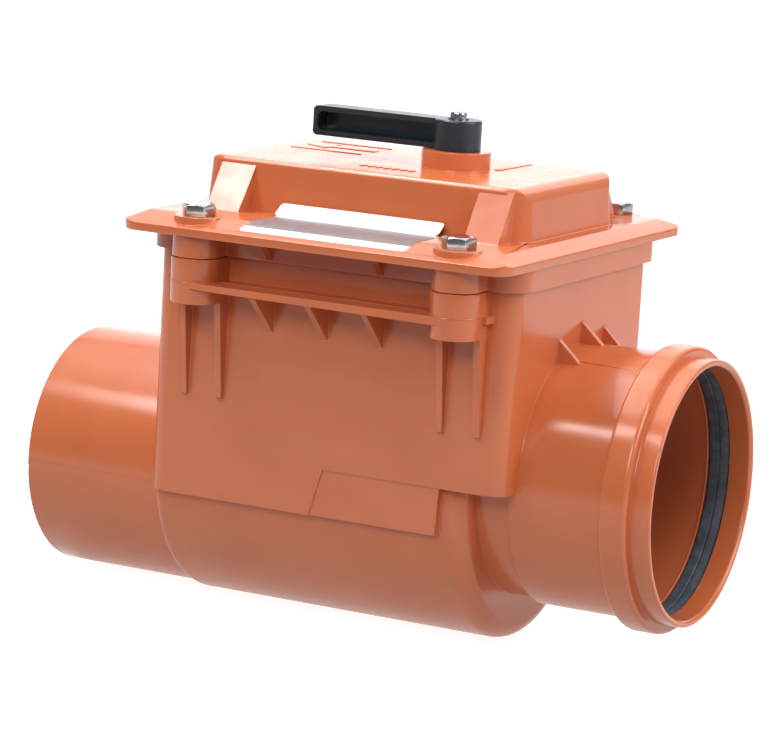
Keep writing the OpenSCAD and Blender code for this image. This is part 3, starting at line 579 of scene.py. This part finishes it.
def eased_copy(node, name, body):
    """A merged copy of a CAD node with its sharp edges rounded, in place of the node."""
    piece = link_mesh(name, NODES[node].data.copy())
    edit(piece)
    bpy.ops.mesh.remove_doubles(threshold=MERGE)
    bpy.ops.mesh.customdata_custom_splitnormals_clear()
    bpy.ops.mesh.select_mode(type="EDGE")
    bpy.ops.mesh.select_all(action="DESELECT")
    shape = bmesh.from_edit_mesh(piece.data)
    for edge in shape.edges:
        edge.select_set(has_room(edge, 2 * EASE_WIDTH))
    bmesh.update_edit_mesh(piece.data)
    bpy.ops.mesh.bevel(offset=EASE_WIDTH, segments=2, affect="EDGES", clamp_overlap=False)
    bpy.ops.mesh.select_all(action="SELECT")
    bpy.ops.mesh.dissolve_degenerate(threshold=MERGE)
    bpy.ops.object.mode_set(mode="OBJECT")
    smooth(piece)
    # Keeps large flat faces flat beside their rounded edges
    apply_modifier(piece, "WEIGHTED_NORMAL", mode="FACE_AREA", keep_sharp=True)
    return stand_for(piece, node, body)


# Stickers on the cover


def round_corners(piece, radius):
    """Rounds the corners of a flat plate."""
    edit(piece)
    bpy.ops.mesh.bevel(offset=radius, segments=6, affect="VERTICES")
    bpy.ops.object.mode_set(mode="OBJECT")


def tip_points(piece, line, angle, test):
    """Swings the points that pass a test about a line in X, given by one place on it."""
    select_points(piece, test)
    bpy.ops.transform.rotate(value=-angle, orient_axis="X", orient_type="GLOBAL",
                             center_override=line)
    bpy.ops.object.mode_set(mode="OBJECT")


def stick_on(piece):
    """Gives a paper plate its thickness and fixes it to the cover."""
    apply_modifier(piece, "SOLIDIFY", thickness=PAPER, offset=1)
    smooth(piece)
    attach(piece, "housing")
    return piece


def make_main_sticker(middle_x, edge_y, flat_z):
    """Blank sticker that starts on the flange's bevel and goes over onto its flat."""
    front = edge_y + STICKER_FRONT
    back = -STICKER_BACK
    level = flat_z + AIR
    middle = (middle_x, (front + back) / 2, level)
    sticker = add_plate("main_sticker", middle, STICKER_LENGTH, back - front)
    round_corners(sticker, STICKER_CORNER)
    crease = (middle_x, edge_y + BEVEL_WIDTH, level)
    edit(sticker)
    bpy.ops.mesh.bisect(plane_co=crease, plane_no=(0, 1, 0))
    slope = math.atan2(BEVEL_RISE, BEVEL_WIDTH)
    tip_points(sticker, crease, slope, lambda place: place.y < crease[1] - MERGE)
    return stick_on(sticker)


def make_strip_sticker(middle_x, flat_z):
    """Narrow blank strip that leans from the flat onto the foot of the dome."""
    foot = (middle_x, -STRIP_FOOT, flat_z + STRIP_LIFT)
    middle = (middle_x, foot[1] + STRIP_WIDTH / 2, foot[2])
    strip = add_plate("strip_sticker", middle, STICKER_LENGTH, STRIP_WIDTH)
    round_corners(strip, STICKER_CORNER)
    edit(strip)
    tip_points(strip, foot, STRIP_LEAN, lambda place: True)
    return stick_on(strip)


# Raised marks on the dome


def raise_mark(piece):
    """Lifts a flat outline to a moulded mark with eased edges."""
    apply_modifier(piece, "SOLIDIFY", thickness=MARK_HEIGHT, offset=1)
    apply_modifier(piece, "BEVEL", width=MARK_EDGE, segments=2, limit_method="ANGLE")
    return piece


def make_flow_arrow(tip):
    """Arrow that points the way the water flows, towards the outlet."""
    deselect_all()
    bpy.ops.mesh.primitive_circle_add(vertices=3, radius=ARROW_HEAD, fill_type="NGON",
                                      location=(tip.x + ARROW_HEAD, tip.y, tip.z),
                                      rotation=(0, 0, QUARTER_TURN))
    arrow = settle(bpy.context.object, "flow_arrow")
    base_x = max(point.co.x for point in arrow.data.vertices)
    edit(arrow)
    select_points(arrow, lambda place: place.x > base_x - MERGE)
    bpy.ops.mesh.subdivide(number_cuts=2)
    # The cuts divide the base in three, and its middle third becomes the shaft
    third = ARROW_HEAD / math.sqrt(3)
    select_points(arrow, lambda place: (place.x > base_x - MERGE
                                        and abs(place.y - tip.y) < third))
    bpy.ops.transform.resize(value=(1, ARROW_SHAFT / third, 1),
                             center_override=(base_x, tip.y, tip.z))
    shaft = (tip.x + ARROW_LENGTH - base_x, 0, 0)
    bpy.ops.mesh.extrude_region_move(TRANSFORM_OT_translate={"value": shaft})
    bpy.ops.object.mode_set(mode="OBJECT")
    return raise_mark(arrow)


def make_bar(name, middle, length, width):
    """Raised bar with rounded corners."""
    bar = add_plate(name, middle, length, width)
    round_corners(bar, BAR_CORNER_SHARE * min(length, width))
    return raise_mark(bar)


def make_dome_marks(middle_x, top_z):
    """Flow arrow, lever ticks and a stop bar, moulded on the flat of the dome's top."""
    level = top_z - AIR
    arrow_x = middle_x - ARROW_OUT
    marks = [make_flow_arrow(Vector((arrow_x, ARROW_Y, level)))]
    for side in (-1, 1):
        place = (arrow_x + ARROW_LENGTH / 2, ARROW_Y + side * BORDER_GAP, level)
        marks.append(make_bar("arrow_border", place, ARROW_LENGTH, BAR_WIDTH))
    for tick in range(TICK_COUNT):
        place = (middle_x + TICK_START + tick * TICK_STEP, TICK_Y, level)
        marks.append(make_bar("lever_tick", place, BAR_WIDTH, TICK_LENGTH))
    stop_place = (middle_x + STOP_X, STOP_Y, level)
    marks.append(make_bar("stop_bar", stop_place, STOP_WIDTH, STOP_LENGTH))
    marks = join(marks, "dome_marks")
    smooth(marks)
    return add_to_housing(marks)


# Rings in the socket's bore


def turn_section(name, section):
    """Ring turned from a closed section about the socket's axis."""
    low, high = node_box("socket_seal")
    axis = Vector((low.x, 0, (low.z + high.z) / 2))
    deselect_all()
    bpy.ops.mesh.primitive_plane_add(size=MM)
    ring = bpy.context.object
    edit(ring)
    bpy.ops.mesh.merge(type="CENTER")
    start = axis + Vector((section[0][0] * MM, 0, SOCKET_R + section[0][1] * MM))
    bpy.ops.transform.translate(value=start)
    for here, there in zip(section, section[1:] + section[:1]):
        step = ((there[0] - here[0]) * MM, 0, (there[1] - here[1]) * MM)
        bpy.ops.mesh.extrude_vertices_move(TRANSFORM_OT_translate={"value": step})
    bpy.ops.mesh.select_all(action="SELECT")
    bpy.ops.mesh.remove_doubles(threshold=MERGE)
    bpy.ops.mesh.spin(steps=RING_SIDES, angle=2 * math.pi, center=axis, axis=(1, 0, 0))
    bpy.ops.mesh.select_all(action="SELECT")
    bpy.ops.mesh.remove_doubles(threshold=MERGE)
    bpy.ops.mesh.normals_make_consistent(inside=False)
    bpy.ops.object.mode_set(mode="OBJECT")
    settle(ring, name)
    smooth(ring)
    return ring


def make_socket_ring():
    """Lipped rubber ring in the socket's groove."""
    ring = turn_section("socket_ring", RING_SECTION)
    return stand_for(ring, "socket_seal", "housing")


def make_bore_bead():
    """Low rounded bead of the moulding beside the rubber ring."""
    return add_to_housing(turn_section("bore_bead", BEAD_SECTION))


# Screws and bolts


def make_recess_blade(turn):
    """Cutter for one slot of a cross recess, tapered towards its foot."""
    deselect_all()
    bpy.ops.mesh.primitive_cube_add(size=1, location=(0, 0, SCREW_HEAD_H), rotation=(0, 0, turn))
    blade = bpy.context.object
    blade.scale = (RECESS_SPAN, RECESS_WIDTH, 2 * RECESS_DEPTH)
    settle(blade, "recess_blade")
    edit(blade)
    select_points(blade, lambda place: place.z < SCREW_HEAD_H)
    bpy.ops.transform.resize(value=(RECESS_TAPER, RECESS_TAPER, 1),
                             center_override=(0, 0, SCREW_HEAD_H - RECESS_DEPTH))
    bpy.ops.object.mode_set(mode="OBJECT")
    return blade


def make_screw(length):
    """Pan head screw on the Z axis, the underside of its head at the origin."""
    deselect_all()
    bpy.ops.mesh.primitive_cylinder_add(vertices=SCREW_SIDES, radius=SCREW_HEAD_R,
                                        depth=SCREW_HEAD_H, location=(0, 0, SCREW_HEAD_H / 2))
    screw = settle(bpy.context.object, "pan_screw")
    edit(screw)
    select_points(screw, lambda place: place.z > SCREW_HEAD_H - MERGE)
    bpy.ops.mesh.bevel(offset=SCREW_HEAD_ROUND, segments=5, affect="EDGES")
    select_points(screw, lambda place: place.z < MERGE)
    bpy.ops.mesh.inset(thickness=SCREW_HEAD_R - SCREW_SHANK_R)
    bpy.ops.mesh.extrude_region_move(TRANSFORM_OT_translate={"value": (0, 0, -length)})
    bpy.ops.mesh.bevel(offset=SCREW_TIP, segments=2, affect="EDGES")
    bpy.ops.object.mode_set(mode="OBJECT")
    for blade in [make_recess_blade(turn) for turn in (0, QUARTER_TURN)]:
        cut(screw, "DIFFERENCE", blade)
    smooth(screw)
    return screw


def make_flap_screws():
    """Four screws that hold the flap's seal, square to the leaning seat."""
    screw = make_screw(FLAP_SCREW_LENGTH)
    seat = Matrix.Translation(SEAT_PLACE) @ Matrix.Rotation(SEAT_LEAN, 4, "Y")
    seated = (Matrix.Translation((FLAP_SCREW_LEVEL, 0, FLAP_SCREW_RING))
              @ Matrix.Rotation(QUARTER_TURN, 4, "Y"))
    copies = []
    for turn in FLAP_SCREW_TURNS:
        place = seat @ Matrix.Rotation(math.radians(turn), 4, "X") @ seated
        copies.append(copy_piece(screw, "flap_screw", place))
    screws = join(copies, "flap_cross_screws")
    stand_for(screws, "flap_screws", "flap")
    bpy.data.objects.remove(screw)
    return screws


def make_bolt():
    """Hexagon head bolt on the Z axis, the underside of its head at the origin."""
    head_middle = (0, 0, BOLT_HEAD / 2)
    deselect_all()
    bpy.ops.mesh.primitive_cylinder_add(vertices=6, radius=HEAD_CORNER_R, depth=BOLT_HEAD,
                                        location=head_middle, rotation=(0, 0, -HEAD_TURN))
    bolt = settle(bpy.context.object, "hexagon_bolt")
    foot_r = HEAD_TOP_R + BOLT_HEAD / math.tan(HEAD_CHAMFER)
    deselect_all()
    bpy.ops.mesh.primitive_cone_add(vertices=CONE_SIDES, radius1=foot_r, radius2=HEAD_TOP_R,
                                    depth=BOLT_HEAD, location=head_middle)
    cut(bolt, "INTERSECT", settle(bpy.context.object, "chamfer_cone"))
    apply_modifier(bolt, "BEVEL", width=HEAD_EDGE, segments=2, limit_method="ANGLE",
                   angle_limit=HEAD_EDGE_ANGLE)
    deselect_all()
    bpy.ops.mesh.primitive_cylinder_add(vertices=SCREW_SIDES, radius=BOLT_R, depth=BOLT_LENGTH,
                                        location=(0, 0, -BOLT_LENGTH / 2))
    shank = settle(bpy.context.object, "bolt_shank")
    edit(shank)
    select_points(shank, lambda place: place.z < -BOLT_LENGTH + MERGE)
    bpy.ops.mesh.bevel(offset=BOLT_TIP, segments=2, affect="EDGES")
    bpy.ops.object.mode_set(mode="OBJECT")
    bolt = join([bolt, shank], "hexagon_bolt")
    smooth(bolt)
    return bolt


def make_cover_bolts(flat_z):
    """Four bolts in the corners of the cover's flange."""
    low, high = node_box("cover_bolts")
    reach = HEAD_CORNER_R * math.cos(HEAD_TURN)
    bolt = make_bolt()
    copies = []
    for x in (low.x + reach, high.x - reach):
        for y in (low.y + reach, high.y - reach):
            place = Matrix.Translation((x, y, flat_z))
            copies.append(copy_piece(bolt, "cover_bolt", place))
    bpy.data.objects.remove(bolt)
    bolts = join(copies, "cover_hexagon_bolts")
    return stand_for(bolts, "cover_bolts", "housing")


# Fine lines that the mould's parting faces leave on the body


def make_flash(name, level, test):
    """Thin raised line round the body at a level, kept where its points pass a test."""
    line = link_mesh(name, NODES["valve_body"].data.copy())
    edit(line)
    bpy.ops.mesh.remove_doubles(threshold=MERGE)
    bpy.ops.mesh.select_all(action="SELECT")
    bpy.ops.mesh.bisect(plane_co=(0, 0, level), plane_no=(0, 0, 1),
                        clear_inner=True, clear_outer=True)
    select_points(line, lambda point: not test(point))
    bpy.ops.mesh.delete(type="VERT")
    bpy.ops.object.mode_set(mode="OBJECT")
    bpy.ops.object.convert(target="CURVE")
    line.data.bevel_depth = FLASH
    line.data.bevel_resolution = 1
    line.data.use_fill_caps = True
    bpy.ops.object.convert(target="MESH")
    return add_to_housing(settle(line, name))


def on_spigot_outside(point):
    """Whether a point at the height of the spigot's axis lies on its outer side."""
    return point.x < SPIGOT_LENGTH and abs(point.y) > SPIGOT_R - FLASH


def on_socket_outside(point):
    """Whether a point at the height of the socket's axis lies on its outer side."""
    in_bead = BEAD_SPAN[0] < point.x < BEAD_SPAN[1]
    inner_y = BEAD_R if in_bead else NECK_R
    return SOCKET_START < point.x < SOCKET_END and abs(point.y) > inner_y


def on_ledge_edge(point):
    """Whether a point at the ledge's level lies near its outer edge."""
    return abs(point.y) > LEDGE_FLASH_Y


# Stage


def add_floor(name, middle, size, glow):
    """Pale plain surface under the valve, which throws no colour back up onto it."""
    level = cad_box[0][2] - FLOOR_DROP
    floor = add_plate(name, (*middle, level), *size)
    floor.visible_diffuse = False
    floor.visible_shadow = False
    material, nodes, links, bsdf = new_finish(name + "_finish")
    tone = remap(nodes, links, noise(nodes, links, **FLOOR_NOISE), FLOOR_NOISE_SPAN, FLOOR_TONE)
    links.new(tone, bsdf.inputs["Base Color"])
    bsdf.inputs["Roughness"].default_value = FLOOR_ROUGHNESS
    bsdf.inputs["Emission Color"].default_value = WHITE
    bsdf.inputs["Emission Strength"].default_value = glow
    set_finish(floor, material)
    return floor


def make_stage():
    """Floor for the camera, and a table with its edge close in front for reflections."""
    floor = add_floor("floor", FLOOR_MIDDLE, FLOOR_SIZE, FLOOR_GLOW)
    floor.visible_glossy = False
    table = add_floor("table", TABLE_MIDDLE, TABLE_SIZE, TABLE_GLOW)
    table.visible_camera = False


def make_world():
    """White room, brightest below and dimmer on the camera's side."""
    world = bpy.data.worlds.new("white_room")
    world.use_nodes = True
    nodes, links = world.node_tree.nodes, world.node_tree.links
    place = nodes.new("ShaderNodeTexCoord")
    split = nodes.new("ShaderNodeSeparateXYZ")
    links.new(place.outputs["Generated"], split.inputs["Vector"])
    depth = remap(nodes, links, split.outputs["Y"], ROOM_DEPTH, ROOM_DEPTH_GLOW)
    height = remap(nodes, links, split.outputs["Z"], ROOM_HEIGHT, ROOM_HEIGHT_GLOW)
    background = nodes["Background"]
    background.inputs["Color"].default_value = WHITE
    links.new(multiply(nodes, links, depth, height), background.inputs["Strength"])
    bpy.context.scene.world = world


def make_light(name, place, target, along, size, power):
    """Soft box that faces a target, its length along a given direction."""
    data = bpy.data.lights.new(name, "AREA")
    data.shape = "RECTANGLE"
    data.size, data.size_y = size
    data.energy = power
    light = bpy.data.objects.new(name, data)
    bpy.context.scene.collection.objects.link(light)
    back = (Vector(place) - Vector(target)).normalized()
    side = Vector(along)
    side = (side - back * side.dot(back)).normalized()
    turn = Matrix((side, back.cross(side), back)).transposed()
    light.matrix_world = Matrix.Translation(place) @ turn.to_4x4()


make_camera()
finishes = make_finishes()
for slot_name, node_names in SLOT_NODES.items():
    for node_name in node_names:
        set_finish(NODES[node_name], finishes[slot_name])

shell = eased_copy("valve_body", "valve_body_moulding", "housing")
lid = eased_copy("cover", "cover_moulding", "housing")
handle = eased_copy("lever", "lever_moulding", "lever")

cover_low, cover_high = node_box("cover")
flat_z = node_box("cover_bolts")[1].z - BOLT_HEAD
middle_x = (cover_low.x + cover_high.x) / 2
bolt_middle_x = middle_x + BOLT_LINE_SHIFT
main_sticker = make_main_sticker(bolt_middle_x + MAIN_STICKER_SHIFT, cover_low.y, flat_z)
strip_sticker = make_strip_sticker(bolt_middle_x + STRIP_SHIFT, flat_z)
dome_marks = make_dome_marks(middle_x, flat_z + DOME_RISE)
socket_ring = make_socket_ring()
bore_bead = make_bore_bead()

bolts = make_cover_bolts(flat_z)
lever_screw = make_screw(LEVER_SCREW_LENGTH)
arm_low, arm_high = node_box("arm_screw")
arm_place = Matrix.Translation(((arm_low.x + arm_high.x) / 2, 0, arm_low.z + SCREW_HEAD_H))
arm_place = arm_place @ Matrix.Rotation(HALF_TURN, 4, "X")
arm_screw = copy_piece(lever_screw, "arm_cross_screw", arm_place)
stand_for(arm_screw, "arm_screw", "lever")
flap_screws = make_flap_screws()
washer_low, washer_high = node_box("lever_washer")
lever_screw_place = ((washer_low.x + washer_high.x) / 2, 0, washer_high.z)
lever_screw.name = "lever_cross_screw"
lever_screw.data.transform(Matrix.Translation(lever_screw_place))
stand_for(lever_screw, "lever_screw", "lever")

spigot_flash = make_flash("spigot_flash", SPIGOT_LEVEL, on_spigot_outside)
socket_flash = make_flash("socket_flash", SOCKET_LEVEL, on_socket_outside)
ledge_flash = make_flash("ledge_flash", LEDGE_LEVEL, on_ledge_edge)

for slot_name, pieces in {
    "terracotta_plastic": (shell, lid, dome_marks, bore_bead,
                           spigot_flash, socket_flash, ledge_flash),
    "black_plastic": (handle,),
    "black_rubber": (socket_ring,),
    "zinc_steel": (bolts, lever_screw, arm_screw, flap_screws),
    "sticker": (main_sticker, strip_sticker),
}.items():
    for piece in pieces:
        set_finish(piece, finishes[slot_name])

make_stage()
make_world()
for light in LIGHTS:
    make_light(*light)
bpy.context.scene.view_settings.view_transform = "Standard"
